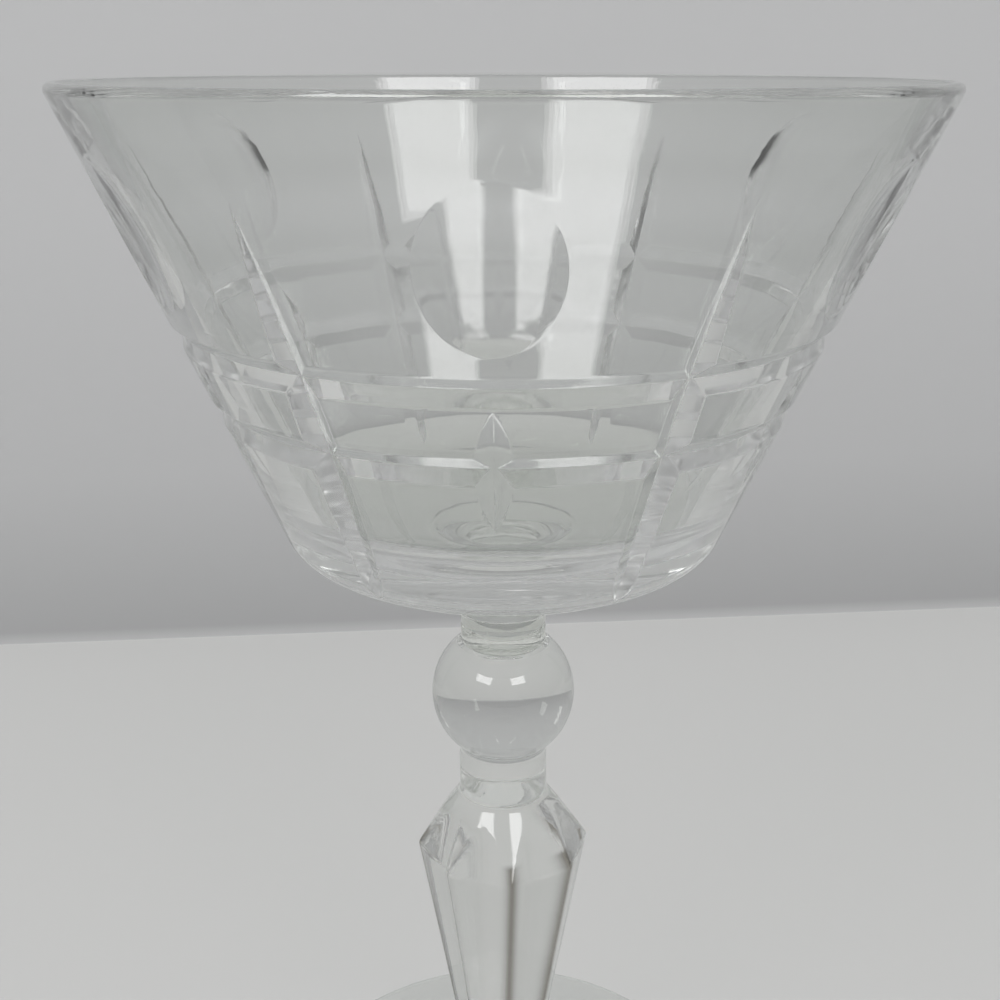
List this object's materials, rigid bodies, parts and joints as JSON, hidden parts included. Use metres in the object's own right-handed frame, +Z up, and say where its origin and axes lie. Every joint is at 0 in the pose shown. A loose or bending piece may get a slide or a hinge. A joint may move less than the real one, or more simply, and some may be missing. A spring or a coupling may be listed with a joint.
{
  "type": "coupe glass",
  "caption": "Stemmed coupe glass: flared clear bowl with cut flutes, rings and round punties, on a ball-knopped, faceted baluster stem and a round foot.",
  "frame": {"origin": "centre of the foot's underside, on the table", "axes": "+Z up along the stem, -Y out of the panel of the bowl that faces the viewer"},
  "size_m": [0.094, 0.094, 0.142],
  "materials": {
    "bowl": "blown clear glass, fire-polished lip, wheel-cut and polished flutes",
    "bowl_wafer": "clear glass seal, slightly greener where the gathers meet",
    "stem": "pressed clear glass, fire-polished",
    "foot_wafer": "clear glass seal",
    "foot": "clear glass, ground standing ring"
  },
  "bodies": {
    "root": {"bowl": "bowl", "bowl_wafer": "bowl_wafer", "stem": "stem", "foot_wafer": "foot_wafer", "foot": "foot"}
  },
  "joints": []
}
